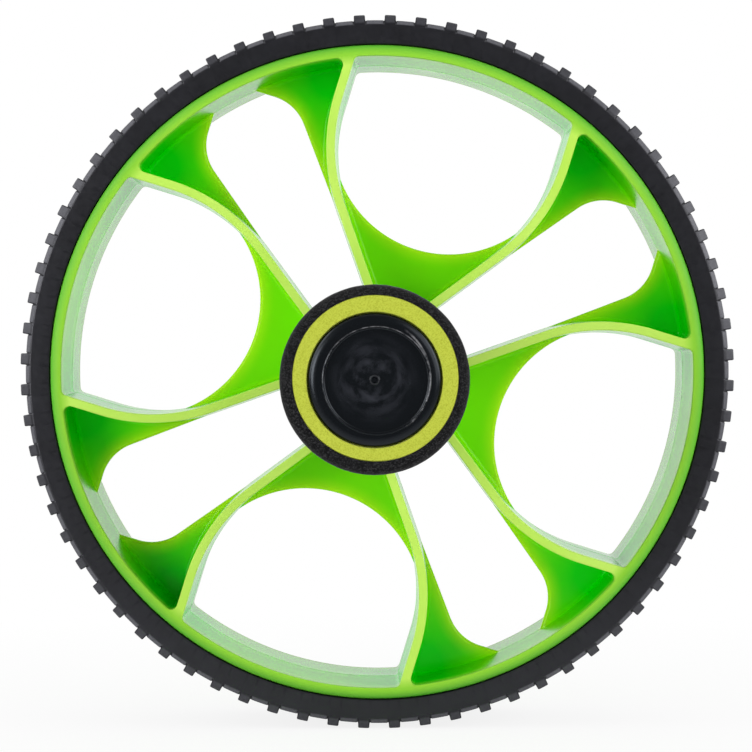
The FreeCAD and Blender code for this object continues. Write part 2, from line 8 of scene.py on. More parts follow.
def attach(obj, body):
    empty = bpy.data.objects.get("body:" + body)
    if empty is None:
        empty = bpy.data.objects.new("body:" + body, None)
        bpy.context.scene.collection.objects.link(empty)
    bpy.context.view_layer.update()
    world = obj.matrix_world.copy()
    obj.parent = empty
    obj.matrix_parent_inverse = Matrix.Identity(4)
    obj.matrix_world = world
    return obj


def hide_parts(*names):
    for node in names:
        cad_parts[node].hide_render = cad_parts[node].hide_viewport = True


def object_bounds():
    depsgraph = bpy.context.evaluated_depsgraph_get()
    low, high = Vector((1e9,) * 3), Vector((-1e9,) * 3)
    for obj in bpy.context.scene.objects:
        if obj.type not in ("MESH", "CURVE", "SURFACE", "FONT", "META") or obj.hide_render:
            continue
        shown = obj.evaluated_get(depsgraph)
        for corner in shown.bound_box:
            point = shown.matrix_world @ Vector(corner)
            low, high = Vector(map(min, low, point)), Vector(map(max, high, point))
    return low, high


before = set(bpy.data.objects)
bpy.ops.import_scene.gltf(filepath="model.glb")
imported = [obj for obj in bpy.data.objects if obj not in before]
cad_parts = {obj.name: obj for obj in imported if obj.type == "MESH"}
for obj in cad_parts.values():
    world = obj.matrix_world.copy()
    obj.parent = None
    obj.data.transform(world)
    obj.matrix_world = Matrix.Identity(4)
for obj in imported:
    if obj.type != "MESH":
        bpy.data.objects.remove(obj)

# Ab wheel roller: a lime green moulded wheel with a black lugged tyre and, on each side, a two-layer foam
# grip with a black end cap. The axle lies along Y and Z is up. Sizes are in millimetres until they go into
# a mesh, a camera or a lamp, and angles are in degrees.

CAD_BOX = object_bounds()
MM = 0.001

# Camera: it looks along the axle from the right-hand end, a little from above.
CAMERA_PLACE = Vector((2.6, -685.4, 8.3)) * MM
CAMERA_AIM = Vector((-0.0043, 1.0, -0.0139))
CAMERA_ROLL = math.radians(0.35)
CAMERA_CLIP = (0.01, 100.0)
LENS_MM = 123.25
SENSOR_MM = 36.0

# Lamps: name, place and size in metres, power in watts.
LAMPS = (
    ("key", (0.80, -1.00, 0.40), 1.0, 4.8),
    ("front_fill", (-0.70, -1.00, 0.12), 0.5, 4.2),
    ("right_box", (1.10, -0.34, 0.42), 1.0, 7.1),
    ("left_box", (-1.05, -0.42, 0.50), 1.0, 7.0),
)

# Studio round the object: strength in front of it and behind it, and how soft the change is.
STUDIO_FRONT = 0.20
STUDIO_BACK = 1.0
STUDIO_TURN = 0.6

# Floor: its height and reach in metres, how white the camera sees it near the object and where that fades,
# and what reflections see of it.
FLOOR_Z = CAD_BOX[0].z
FLOOR_REACH = 20.0
FLOOR_NEAR = 0.85
FLOOR_FADE = (100.0, 280.0)
FLOOR_FRONT = 0.15
FLOOR_TURN = (-100.0, 300.0)
FLOOR_MIRROR = (150.0, 600.0)

# Wheel moulding, the same on both sides of its middle plane.
RIM_Y = 21.0
RIM_ROUND = 2.2
RIM_MOUTH_R = 81.64
FLANGE_R = 84.6
FLANGE_Y = 18.0
SEAT_R = 83.2
DRAFT = math.tan(math.radians(1.2))
WALL_STEP_Y = 10.0
EDGE_ROUND = 0.3
FLASH_HALF = 0.3
FLASH_HEIGHT = 0.05
CORNER_R = 1.6
HUB_FACE_R = 20.04
HUB_STEP_R = 19.2
HUB_Y = 21.5
HUB_ROUND = 0.3
BUSH_SEAT_R = 15.13
BUSH_SEAT_Y = 7.5
HUB_BORE_R = 13.88
WHEEL_SHARP = 17.0

# Ribs, seen along the axle: across and along the axis of a wide window.
AXLE = (0.0, 0.0)
BEND_CENTRE = (-14.0, 65.1)
WIDE_BEND = 43.44
NARROW_BEND = 45.66
LEG_ANGLE = 36.5
WIDE_ANGLES = (72.5, 162.5, 252.5, 342.5)
NARROW_ANGLES = (27.5, 117.5, 207.5, 297.5)
HALF_PITCH = 45.0

# Web halfway across the wheel, its fillet to the walls and its openings.
WEB_HALF = 1.3
WEB_FILLET = 1.1
WEB_ROUND = 0.9
WEB_SUNK = 0.03
ARCH_R = 31.07
ARCH_HEIGHT = 65.1
BULB_R = 12.2
BULB_CENTRE = (1.3, 68.7)
FLANK_ANGLE = 7.0
TIP_ANGLE = 45.5
OPENING_FOOT = 12.0
OPENING_TOP = 83.6
# What cuts an opening starts just clear of the web's face and widens up to the fillets' height.
CUT_CLEAR = 1.04
CUT_WIDEN = 1.3
CUT_HEIGHT = 1.5
# Corners nearer to each other than this become one after joining and cutting.
MERGE_REACH = 0.002

# Tyre: lugs across a smooth band, with a fine groove beside each lug.
LUG_COUNT = 72
FIRST_LUG = 2.5
TREAD_R = 91.1
GROOVE = 1.4

# Half of a lug along the tread: distance from its middle, and share of its height or, below 0, of the groove.
LUG_STEPS = [
    (0.0, 1.0), (1.13, 1.0), (1.33, 0.95), (1.43, 0.80), (1.48, 0.15), (1.54, -0.05), (1.65, -0.12),
    (1.80, -0.03), (1.95, 0.0), (3.1, 0.0), (4.0, 0.0),
]

# Half of the tyre's section, from the middle of the tread round to the middle of the seat: distance along
# the axle and radius between the lugs, then the same on a lug.
TYRE_SECTION = [
    ((0.0, 91.1), (0.0, 92.5)),
    ((9.0, 91.1), (9.0, 92.5)),
    ((17.4, 91.1), (17.6, 92.5)),
    ((18.1, 91.1), (18.15, 92.46)),
    ((18.35, 91.05), (18.38, 92.3)),
    ((18.5, 90.92), (18.52, 92.05)),
    ((18.9, 90.5), (18.98, 91.0)),
    ((19.15, 90.25), (19.24, 90.42)),
    ((19.36, 90.04), (19.4, 90.08)),
    ((19.48, 89.86), (19.48, 89.88)),
    ((19.5, 89.65), (19.5, 89.65)),
    ((19.5, 89.45), (19.5, 89.45)),
    ((19.5, 88.0), (19.5, 88.0)),
    ((19.5, 85.3), (19.5, 85.3)),
    ((19.42, 84.95), (19.42, 84.95)),
    ((19.2, 84.78), (19.2, 84.78)),
    ((18.9, 84.75), (18.9, 84.75)),
    ((17.85, 84.75), (17.85, 84.75)),
    ((17.85, 83.35), (17.85, 83.35)),
    ((0.0, 83.35), (0.0, 83.35)),
]

# Grips: a black foam sleeve over a yellow-green foam core, a little off centre to each other.
SIDES = (("left", 1.0), ("right", -1.0))
GRIP_Y = 35.3
GRIP_END_Y = 148.0
GRIP_ROUND = 2.2
SLEEVE_R = 20.0
SLEEVE_BORE_R = 17.45
SLEEVE_SKIN_R = 17.95
CORE_R = 17.4
CORE_BORE_R = 12.55
CORE_EDGE = 0.15
CORE_SHIFT_R = 17.2
LAYER_SHIFT = (0.17, 0.35)

# Caps: flange, dished face with a raised line round it, gate mark and hollow spigot.
CAP_SEAT_R = 14.25
CAP_SEAT_Y = 146.0
CAP_R = 14.0
CAP_ROUND = (1.8, 1.1)
CAP_END_Y = 148.6
DISH_R = 11.05
DISH_DEPTH = 0.9
DISH_SHIFT = (0.4, -0.1)
FOOT_ROUND = 0.35
RIDGE = 0.22
GATE_R = 0.9
GATE_H = 0.3
GATE_LIP = 0.7
GATE_PIT = 0.45
SPIGOT_R = 10.95
SPIGOT_BORE_R = 8.95
SPIGOT_Y = 132.0
SCRATCH_CENTRE = (-0.7, 0.3)
SCRATCH_R = 12.35

RIM_SEGMENTS = 288
HUB_SEGMENTS = 96
GRIP_SEGMENTS = 192

# Colours in linear light; a pair is two tones of one material.
WHITE = (1.0, 1.0, 1.0, 1.0)
FLOOR_WHITE = (0.9, 0.9, 0.9, 1.0)
# Painted shade and light: the plastic is lime all through. The pockets' greens and the walls' green are
# painted shade, darkest in the corners, and the web's yellow edge is a painted glow where light comes through
# the thin web.
POCKET_PAINTED_SHADE = ((0.0, 0.72, 0.0, 1.0), (0.21, 0.80, 0.0, 1.0))
WEB_EDGE_PAINTED_GLOW = (0.52, 0.90, 0.010, 1.0)
WALL_PAINTED_SHADE = (0.02, 0.20, 0.0, 1.0)
RIB_LIME = ((0.44, 0.73, 0.085, 1.0), (0.50, 0.77, 0.118, 1.0))
# The rim's second tone is painted shade on its shoulder.
RIM_LIME_AND_SHOULDER_SHADE = ((0.24, 0.57, 0.033, 1.0), (0.11, 0.42, 0.033, 1.0))
RUBBER_BLACK = ((0.004, 0.004, 0.0055, 1.0), (0.007, 0.007, 0.0095, 1.0))
# Grey on the tyre's edges: partly wear, partly a painted highlight.
RUBBER_WORN_AND_HIGHLIGHT = (0.090, 0.090, 0.103, 1.0)
FOAM_BLACK = ((0.002, 0.002, 0.0025, 1.0), (0.030, 0.030, 0.032, 1.0))
FOAM_LIME = ((0.32, 0.36, 0.026, 1.0), (0.44, 0.50, 0.052, 1.0))
CAP_BLACK = ((0.0018, 0.0026, 0.0037, 1.0), (0.020, 0.021, 0.027, 1.0))
# Grey on the cap: scratches and wear, and on the raised line partly a painted highlight.
CAP_WORN_AND_HIGHLIGHT = (0.21, 0.21, 0.22, 1.0)
STEEL_GREY = (0.56, 0.56, 0.57, 1.0)
NYLON_CREAM = (0.70, 0.69, 0.64, 1.0)
COLLAR_BLACK = (0.016, 0.016, 0.018, 1.0)

# Where most values of a noise lie, and a narrower range that gives more contrast.
NOISE_MOST = (0.3, 0.7)
NOISE_CORE = (0.35, 0.65)

# Wheel's look: painted shade makes the corners of the narrow windows deepest green.
SHADE_R = 79.0
SHADE_TURN = 19.0
SHADE_FADE = (5.0, 22.0)
# From the web's opening: the painted glow that makes the web yellower along its thin edges, its start, and
# where the arch of a wide window stops counting.
EDGE_FADE = (0.0, 4.5)
EDGE_START = (-0.6, -0.1)
ARCH_END = (50.0, 56.0)
PAST_ARCH = 50.0
# From the middle plane: the web, the walls, whose darker green is painted shade, the faces and their finish.
WEB_FADE = (1.6, 3.4)
WALL_FADE = (2.6, 6.0)
WALL_SHADE = 0.25
FACE_FADE = (15.0, 20.7)
GLOSS_FADE = (19.5, 20.8)
TEXTURE_FADE = (20.0, 20.8)
WALL_ROUGHNESS = 0.14
FACE_ROUGHNESS = 0.42
ROUGHNESS_DRIFT = 0.05
# From the axle: the ribs meet the rim, and the rim's face turns over to its shoulder, which is painted darker
# as shade.
RIM_FADE = (79.5, 82.0)
SHOULDER_FADE = (82.2, 84.2)

# Tyre's look: along the tread from the middle of a lug, outwards, and from the middle plane. The grey on the
# lugs' ends and the strips between them is partly wear and partly a painted highlight from the side lamps.
LUG_EDGE = (1.05, 1.35)
LUG_RISE = (90.2, 90.7)
LUG_WEAR_AND_HIGHLIGHT = 0.45
STRIP_EDGE = (1.6, 1.9)
STRIP_RISE = (89.8, 90.2)
TREAD_EDGE = (17.8, 18.4)
TREAD_WEAR_AND_HIGHLIGHT = 0.12
GREY_PATCHES_LEAST = 0.7
RUBBER_ROUGHNESS = (0.30, 0.38)

# Foam's look.
FOAM_TONE_SOFT = 0.3
FOAM_CELL_DEPTH = (0.1, 0.6)
FOAM_ROUGHNESS = (0.75, 0.95)
FOAM_SKIN_CELLS = 6.0

# Cap's look: flow marks round the gate, the grey upper part of the raised line, which is partly scuffing and
# partly a painted highlight, and a scratch at the right.
FLOW_RING = 0.5
FLOW_STROKE = 2.6
FLOW_RANGE = (0.42, 0.70)
FLOW_START = (1.0, 3.5)
FLOW_END = (4.0, 10.0)
CAP_ROUGHNESS = (0.24, 0.36)
WEAR_AND_HIGHLIGHT_RANGE = (0.40, 0.62)
RIDGE_WEAR_AND_HIGHLIGHT = 0.7
RIDGE_WEAR_AND_HIGHLIGHT_UP = (-6.5, 0.0)
SCRATCH_ACROSS = (6.2, 8.5)
GATE_WEAR = 0.12

# Steel's and plain plastic's look: the darker tone's share and how much rougher the dull patches are.
STEEL_DARKER = 0.8
PLASTIC_DARKER = 0.85
PATCH_ROUGHER = 0.12


class Shader:
    """A material being made, with short ways to add and join nodes."""

    def __init__(self, name):
        self.material = bpy.data.materials.new(name)
        self.material.use_nodes = True
        self.tree = self.material.node_tree
        self.surface = self.tree.nodes["Principled BSDF"]
        self.output = self.tree.nodes["Material Output"]

    def feed(self, socket, value):
        """Give an input a value, or join another node's output to it."""
        if isinstance(value, bpy.types.NodeSocket):
            self.tree.links.new(value, socket)
        else:
            socket.default_value = value

    def add(self, kind, inputs=None, **settings):
        """A new node with its settings and inputs; an input is a value or another node's output."""
        node = self.tree.nodes.new("ShaderNode" + kind)
        for key, value in settings.items():
            setattr(node, key, value)
        for key, value in (inputs or {}).items():
            self.feed(node.inputs[key], value)
        return node

    def set(self, **inputs):
        """Inputs of the surface, such as Base_Color."""
        for key, value in inputs.items():
            self.feed(self.surface.inputs[key.replace("_", " ")], value)

    def place(self):
        """The point on the object, which moves with its body."""
        return self.add("TexCoord").outputs["Object"]

    def place_parts(self):
        """The same point as its three coordinates."""
        return self.add("SeparateXYZ", {0: self.place()}).outputs

    def grain(self, size_mm, detail=2.0, roughness=0.5):
        """Soft noise with features of a given size."""
        inputs = {"Vector": self.place(), "Scale": 1.0 / (size_mm * MM)}
        inputs.update({"Detail": detail, "Roughness": roughness})
        return self.add("TexNoise", inputs).outputs["Fac"]

    def span(self, value, limits, to_low=0.0, to_high=1.0):
        """A value mapped from between two limits to another range and kept inside it."""
        inputs = {"Value": value, "From Min": limits[0], "From Max": limits[1]}
        inputs.update({"To Min": to_low, "To Max": to_high})
        return self.add("MapRange", inputs).outputs["Result"]

    def zone(self, distance, limits_mm, to_low=0.0, to_high=1.0):
        """A distance mapped in the same way, with its limits in millimetres."""
        return self.span(distance, [limit * MM for limit in limits_mm], to_low, to_high)

    def blend(self, factor, first, second):
        """Between two colours, by a factor."""
        node = self.add("Mix", data_type="RGBA")
        for index, value in ((0, factor), (6, first), (7, second)):
            self.feed(node.inputs[index], value)
        return node.outputs[2]

    def math(self, operation, first, second=0.0):
        """The result of a sum or another operation on one or two values."""
        return self.add("Math", {0: first, 1: second}, operation=operation).outputs[0]

    def times(self, first, second):
        """The product of two values."""
        return self.math("MULTIPLY", first, second)

    def polar(self, across, along):
        """Length and direction of a point that is given by two parts."""
        flat = self.add("CombineXYZ", {"X": across, "Y": along}).outputs[0]
        length = self.add("VectorMath", {0: flat}, operation="LENGTH").outputs["Value"]
        return length, self.math("ARCTAN2", along, across)

    def parts(self, length, turn):
        """A point across and along an axis, from its length and its turn away from that axis."""
        return tuple(self.times(length, self.math(way, turn)) for way in ("SINE", "COSINE"))

    def reach(self, point, centre):
        """Length and direction of a point from a centre in millimetres."""
        return self.polar(*(self.math("SUBTRACT", part, middle * MM) for part, middle in zip(point, centre)))

    def line(self, distance, at_mm, half_mm):
        """1 on a fine line where a distance has a given value, 0 away from it."""
        off = self.math("ABSOLUTE", self.math("SUBTRACT", distance, at_mm * MM))
        return self.zone(off, (0.0, half_mm), 1.0, 0.0)

    def bump(self, height, depth_mm, under=None):
        """A relief of a given depth, over another relief if there is one."""
        inputs = {"Height": height, "Distance": depth_mm * MM, "Strength": 1.0}
        if under is not None:
            inputs["Normal"] = under
        return self.add("Bump", inputs).outputs["Normal"]


def opening_distance(shader, radius, turn):
    """How far a point of the wheel is from the web's nearest opening, by its turn from a narrow window."""
    far, way = shader.reach(shader.parts(radius, turn), BULB_CENTRE)
    limits = {"Value": way, "Min": -math.radians(FLANK_ANGLE), "Max": math.radians(TIP_ANGLE)}
    aside = shader.math("SUBTRACT", way, shader.add("Clamp", limits).outputs[0])
    narrow = shader.math("SUBTRACT", shader.times(far, shader.math("COSINE", aside)), BULB_R * MM)
    wide_turn = shader.math("SUBTRACT", math.radians(HALF_PITCH), turn)
    arch = shader.reach(shader.parts(radius, wide_turn), (0.0, ARCH_HEIGHT))[0]
    # The arch counts only as far out as the web of a wide window reaches.
    past_web = shader.zone(radius, ARCH_END, 0.0, PAST_ARCH * MM)
    wide = shader.math("ADD", shader.math("SUBTRACT", arch, ARCH_R * MM), past_web)
    return shader.math("MINIMUM", narrow, wide)


def wheel_plastic():
    """Moulded plastic: lime faces; painted shade makes it deep green down in the pockets and deepest in the
    corners, and a painted glow makes it yellower along the thin web's edges.
    """
    shader = Shader("wheel_plastic_look")
    spot = shader.place_parts()
    depth = shader.math("ABSOLUTE", spot["Y"])
    radius, heading = shader.polar(spot["X"], spot["Z"])
    from_window = shader.math("SUBTRACT", heading, math.radians(NARROW_ANGLES[0]))
    turn = shader.math("PINGPONG", from_window, math.radians(HALF_PITCH))
    lean = math.radians(SHADE_TURN)
    corner = (SHADE_R * math.sin(lean), SHADE_R * math.cos(lean))
    from_corner = shader.reach(shader.parts(radius, turn), corner)[0]
    # Painted shade: deepest green near the corners of the narrow windows.
    deep = shader.blend(shader.zone(from_corner, SHADE_FADE), *POCKET_PAINTED_SHADE)
    away = opening_distance(shader, radius, turn)
    # Painted glow: yellower where the web is thin along its openings.
    thin = shader.zone(away, EDGE_FADE, 1.0, 0.0)
    on_web = shader.times(shader.zone(depth, WEB_FADE, 1.0, 0.0), shader.zone(away, EDGE_START))
    band = shader.times(on_web, shader.times(thin, thin))
    web = shader.blend(band, deep, WEB_EDGE_PAINTED_GLOW)
    # Painted shade: the walls darker green below the faces.
    wall = shader.blend(shader.zone(depth, WALL_FADE, 0.0, WALL_SHADE), web, WALL_PAINTED_SHADE)
    rib = shader.blend(shader.span(shader.grain(size_mm=22.0), NOISE_CORE), *RIB_LIME)
    # Painted shade: the rim's face darker towards its shoulder.
    rim = shader.blend(shader.zone(radius, SHOULDER_FADE), *RIM_LIME_AND_SHOULDER_SHADE)
    face = shader.blend(shader.zone(radius, RIM_FADE), rib, rim)
    shader.set(Base_Color=shader.blend(shader.zone(depth, FACE_FADE), wall, face))
    gloss = shader.span(shader.grain(size_mm=9.0), NOISE_MOST, 0.0, ROUGHNESS_DRIFT)
    finish = shader.zone(depth, GLOSS_FADE, WALL_ROUGHNESS, FACE_ROUGHNESS)
    shader.set(Roughness=shader.math("ADD", gloss, finish))
    waves = shader.bump(shader.grain(size_mm=12.0), depth_mm=0.004)
    texture = shader.times(shader.grain(size_mm=0.5), shader.zone(depth, TEXTURE_FADE))
    shader.set(Normal=shader.bump(texture, depth_mm=0.002, under=waves))
    shader.set(Specular_IOR_Level=0.13)
    return shader.material


def tyre_rubber():
    """Black rubber with a fine grain, grey on the lugs' ends and between them along the edges: partly wear,
    partly a painted highlight.
    """
    shader = Shader("tyre_rubber_look")
    spot = shader.place_parts()
    radius, heading = shader.polar(spot["X"], spot["Z"])
    from_first = shader.math("SUBTRACT", heading, math.radians(FIRST_LUG))
    lug_turn = shader.math("PINGPONG", from_first, math.pi / LUG_COUNT)
    from_lug = shader.times(lug_turn, TREAD_R * MM)
    # Grey on the lugs' ends and strips: partly wear, partly a painted highlight.
    lug_end = shader.times(shader.zone(from_lug, LUG_EDGE, LUG_WEAR_AND_HIGHLIGHT, 0.0), shader.zone(radius, LUG_RISE))
    strip = shader.times(shader.zone(from_lug, STRIP_EDGE), shader.zone(radius, STRIP_RISE))
    edge = shader.zone(shader.math("ABSOLUTE", spot["Y"]), TREAD_EDGE, TREAD_WEAR_AND_HIGHLIGHT, 1.0)
    grey_patches = shader.span(shader.grain(size_mm=1.0, detail=4.0), NOISE_MOST, GREY_PATCHES_LEAST, 1.0)
    wear_and_highlight = shader.times(shader.times(edge, grey_patches), shader.math("MAXIMUM", lug_end, strip))
    black = shader.blend(shader.span(shader.grain(size_mm=6.0, detail=4.0), NOISE_CORE), *RUBBER_BLACK)
    shader.set(Base_Color=shader.blend(wear_and_highlight, black, RUBBER_WORN_AND_HIGHLIGHT))
    dull = shader.grain(size_mm=1.2, detail=3.0)
    shader.set(Roughness=shader.span(dull, NOISE_MOST, *RUBBER_ROUGHNESS))
    shader.set(Normal=shader.bump(shader.grain(size_mm=0.35, detail=3.0), depth_mm=0.003))
    shader.set(Specular_IOR_Level=0.50, Specular_Tint=(0.92, 0.92, 1.0, 1.0))
    return shader.material


def foam(name, tones, cell_mm, share):
    """Closed-cell foam: fine cells in two tones, of which the darker ones have a given share."""
    shader = Shader(name)
    inputs = {"Vector": shader.place(), "Scale": 1.0 / (cell_mm * MM)}
    cells = shader.add("TexVoronoi", inputs, feature="F1").outputs
    speck = shader.add("SeparateXYZ", {0: cells["Color"]}).outputs["X"]
    tone = shader.span(speck, (share - FOAM_TONE_SOFT, share + FOAM_TONE_SOFT))
    shader.set(Base_Color=shader.blend(tone, *tones))
    shader.set(Roughness=shader.span(cells["Distance"], FOAM_CELL_DEPTH, *FOAM_ROUGHNESS))
    soft = shader.bump(shader.grain(cell_mm * FOAM_SKIN_CELLS, detail=3.0), depth_mm=0.03)
    shader.set(Normal=shader.bump(cells["Distance"], depth_mm=0.02, under=soft))
    shader.set(Specular_IOR_Level=0.15, Sheen_Weight=0.12, Sheen_Roughness=0.4)
    return shader.material


def flow_marks(shader, spot, radius):
    """Strokes that swirl round the gate and fade out towards it and towards the edge."""
    across = shader.math("DIVIDE", spot["X"], radius)
    up = shader.math("DIVIDE", spot["Z"], radius)
    outward = shader.math("DIVIDE", radius, FLOW_STROKE * MM)
    swirl = shader.add("CombineXYZ", {"X": across, "Y": up, "Z": outward}).outputs[0]
    inputs = {"Vector": swirl, "Scale": 1.3, "Detail": 2.0, "Roughness": 0.5}
    strokes = shader.add("TexNoise", inputs).outputs["Fac"]
    fade = shader.times(shader.zone(radius, FLOW_START), shader.zone(radius, FLOW_END, 1.0, 0.0))
    return shader.times(shader.span(strokes, FLOW_RANGE), fade)


def cap_wear_and_highlight(shader, spot, radius):
    """Where the cap is painted grey: the upper part of the raised line round the dish, partly scuffing and
    partly a painted highlight, a scratch and the gate's edge.
    """
    dish = shader.reach((spot["X"], spot["Z"]), DISH_SHIFT)[0]
    ridge = shader.line(dish, at_mm=DISH_R + RIDGE, half_mm=0.16)
    # Grey on the upper part of the raised line: partly scuffing, partly a painted highlight where the lamps
    # above catch it.
    upper = shader.times(shader.zone(spot["Z"], RIDGE_WEAR_AND_HIGHLIGHT_UP), ridge)
    aside = shader.reach((spot["X"], spot["Z"]), SCRATCH_CENTRE)[0]
    arc_line = shader.line(aside, at_mm=SCRATCH_R, half_mm=0.30)
    scratch = shader.times(shader.zone(spot["X"], SCRATCH_ACROSS), arc_line)
    rubbed_and_lit = shader.math("MAXIMUM", shader.times(upper, RIDGE_WEAR_AND_HIGHLIGHT), scratch)
    patchy = shader.span(shader.grain(size_mm=1.6, detail=5.0, roughness=0.7), WEAR_AND_HIGHLIGHT_RANGE)
    gate = shader.times(shader.line(radius, at_mm=GATE_R, half_mm=0.25), GATE_WEAR)
    return shader.math("MAXIMUM", shader.times(rubbed_and_lit, patchy), gate)


def cap_plastic():
    """Black satin plastic with flow marks round the gate and a grey line round the dish that is partly
    scuffing and partly a painted highlight.
    """
    shader = Shader("cap_plastic_look")
    spot = shader.place_parts()
    radius = shader.polar(spot["X"], spot["Z"])[0]
    marks = flow_marks(shader, spot, radius)
    black = shader.blend(marks, *CAP_BLACK)
    shader.set(Base_Color=shader.blend(cap_wear_and_highlight(shader, spot, radius), black, CAP_WORN_AND_HIGHLIGHT))
    shader.set(Roughness=shader.span(marks, (0.0, 1.0), *CAP_ROUGHNESS))
    inputs = {"W": radius, "Scale": 1.0 / (FLOW_RING * MM), "Detail": 3.0}
    rings = shader.add("TexNoise", inputs, noise_dimensions="1D").outputs["Fac"]
    turned_marks = shader.bump(rings, depth_mm=0.012)
    shader.set(Normal=shader.bump(shader.grain(size_mm=0.4, detail=3.0), depth_mm=0.001, under=turned_marks))
    shader.set(Specular_IOR_Level=0.36, Specular_Tint=(0.82, 0.90, 1.0, 1.0))
    return shader.material


def darker(colour, share):
    """A colour with a share of its light."""
    return tuple(share * part for part in colour[:3]) + (1.0,)


def steel(name, colour, roughness):
    """Turned steel with fine marks."""
    shader = Shader(name)
    drift = shader.grain(size_mm=1.5, detail=4.0)
    shader.set(Base_Color=shader.blend(drift, colour, darker(colour, STEEL_DARKER)))
    shader.set(Roughness=shader.span(drift, NOISE_MOST, roughness, roughness + PATCH_ROUGHER))
    shader.set(Normal=shader.bump(shader.grain(size_mm=0.3), depth_mm=0.006))
    shader.set(Metallic=1.0)
    return shader.material


def moulded(name, colour, roughness):
    """Plain moulded plastic with a fine texture."""
    shader = Shader(name)
    drift = shader.grain(size_mm=3.0, detail=4.0)
    shader.set(Base_Color=shader.blend(drift, colour, darker(colour, PLASTIC_DARKER)))
    shader.set(Roughness=shader.span(drift, NOISE_MOST, roughness, roughness + PATCH_ROUGHER))
    shader.set(Normal=shader.bump(shader.grain(size_mm=0.4), depth_mm=0.01))
    return shader.material


def arc(centre, radius, start, finish, steps):
    """Points along an arc between two directions in degrees, both ends included."""
    turns = [math.radians(start + (finish - start) * step / steps) for step in range(steps + 1)]
    return [(centre[0] + radius * math.cos(turn), centre[1] + radius * math.sin(turn)) for turn in turns]


def bearing(point):
    """Direction of a point from the axle, in degrees."""
    return math.degrees(math.atan2(point[1], point[0]))


def joined(*runs):
    """One line from runs of points, without the points where two runs meet twice."""
    line = []
    for point in (point for run in runs for point in run):
        if not line or math.dist(line[-1], point) > 1e-6:
            line.append(point)
    return line


def hub_corner(reach):
    """Centre of a rounded corner between a rib's leg and the hub, a reach away from the bend's centre."""
    lean = math.radians(LEG_ANGLE)
    off = BEND_CENTRE[0] * math.cos(lean) - BEND_CENTRE[1] * math.sin(lean) + reach
    up = math.sqrt((HUB_FACE_R + CORNER_R) ** 2 - off ** 2)
    return (off * math.cos(lean) + up * math.sin(lean), up * math.cos(lean) - off * math.sin(lean))


def rim_corner(side):
    """Centre of a rounded corner at the rim, a side away from the window's axis."""
    return (side, math.sqrt((RIM_MOUTH_R - CORNER_R) ** 2 - side ** 2))


def wide_half(inset):
    """Half of the wall of a wide window, from the rim down a rib to the hub."""
    high = rim_corner(BEND_CENTRE[0] + WIDE_BEND - CORNER_R)
    low = hub_corner(WIDE_BEND - CORNER_R)
    return joined(
        arc(AXLE, RIM_MOUTH_R - inset, 90.0, bearing(high), steps=20),
        arc(high, CORNER_R - inset, bearing(high), 0.0, steps=6),
        arc(BEND_CENTRE, WIDE_BEND - inset, 0.0, -LEG_ANGLE, steps=20),
        arc(low, CORNER_R - inset, -LEG_ANGLE, bearing(low) - 180.0, steps=6),
        arc(AXLE, HUB_FACE_R + inset, bearing(low), 90.0, steps=6),
    )


def narrow_half(inset):
    """Half of the wall of a narrow window, drawn beside the wide one and turned to its own axis."""
    high = rim_corner(BEND_CENTRE[0] + NARROW_BEND + CORNER_R)
    low = hub_corner(NARROW_BEND + CORNER_R)
    line = joined(
        arc(AXLE, RIM_MOUTH_R - inset, HALF_PITCH, bearing(high), steps=24),
        arc(high, CORNER_R - inset, bearing(high), 180.0, steps=6),
        arc(BEND_CENTRE, NARROW_BEND + inset, 0.0, -LEG_ANGLE, steps=20),
        arc(low, CORNER_R - inset, 180.0 - LEG_ANGLE, bearing(low) + 180.0, steps=6),
        arc(AXLE, HUB_FACE_R + inset, bearing(low), HALF_PITCH, steps=6),
    )
    turn = math.radians(HALF_PITCH)
    cos, sin = math.cos(turn), math.sin(turn)
    return [(v * sin - u * cos, u * sin + v * cos) for u, v in line]


def wide_opening(spread):
    """Half of the hole in the web of a wide window, made larger all round by a spread."""
    return joined(
        [(0.0, OPENING_TOP)],
        [(ARCH_R + spread, OPENING_TOP)],
        arc((0.0, ARCH_HEIGHT), ARCH_R + spread, 0.0, -90.0, steps=40),
    )


def narrow_opening(spread):
    """Half of the hole in the web of a narrow window, made larger all round by a spread."""
    bulb = arc(BULB_CENTRE, BULB_R + spread, TIP_ANGLE, -FLANK_ANGLE, steps=20)
    tip, flank = math.radians(TIP_ANGLE), math.radians(FLANK_ANGLE)
    top = (bulb[0][0] - (OPENING_TOP - bulb[0][1]) * math.tan(tip), OPENING_TOP)
    foot = (bulb[-1][0] - (bulb[-1][1] - OPENING_FOOT) * math.tan(flank), OPENING_FOOT)
    return joined([(0.0, OPENING_TOP)], [top], bulb, [foot], [(0.0, OPENING_FOOT)])


WINDOWS = [(wide_half, wide_opening, angle) for angle in WIDE_ANGLES]
WINDOWS += [(narrow_half, narrow_opening, angle) for angle in NARROW_ANGLES]


def whole(half):
    """A closed outline from its half on one side of the window's axis."""
    return half + [(-across, along) for across, along in reversed(half[1:-1])]


def outline_ring(bm, half, angle, y):
    """Corners of a window's outline, turned to its place on the wheel."""
    turn = math.radians(angle)
    cos, sin = math.cos(turn), math.sin(turn)
    spots = [Vector((v * cos + u * sin, y, v * sin - u * cos)) * MM for u, v in whole(half)]
    return [bm.verts.new(spot) for spot in spots]


def round_ring(bm, radius, y, segments, centre=AXLE):
    """Corners of a circle round the axle, with its centre across and above it."""
    turns = [2.0 * math.pi * step / segments for step in range(segments)]
    spots = [(centre[0] + radius * math.cos(turn), y, centre[1] + radius * math.sin(turn)) for turn in turns]
    return [bm.verts.new(Vector(spot) * MM) for spot in spots]


def bridge(bm, rings, closed=False):
    """Faces between each ring of corners and the next."""
    for first, second in zip(rings, rings[1:] + rings[:1] if closed else rings[1:]):
        for index in range(len(first)):
            after = (index + 1) % len(first)
            bm.faces.new((first[index], first[after], second[after], second[index]))


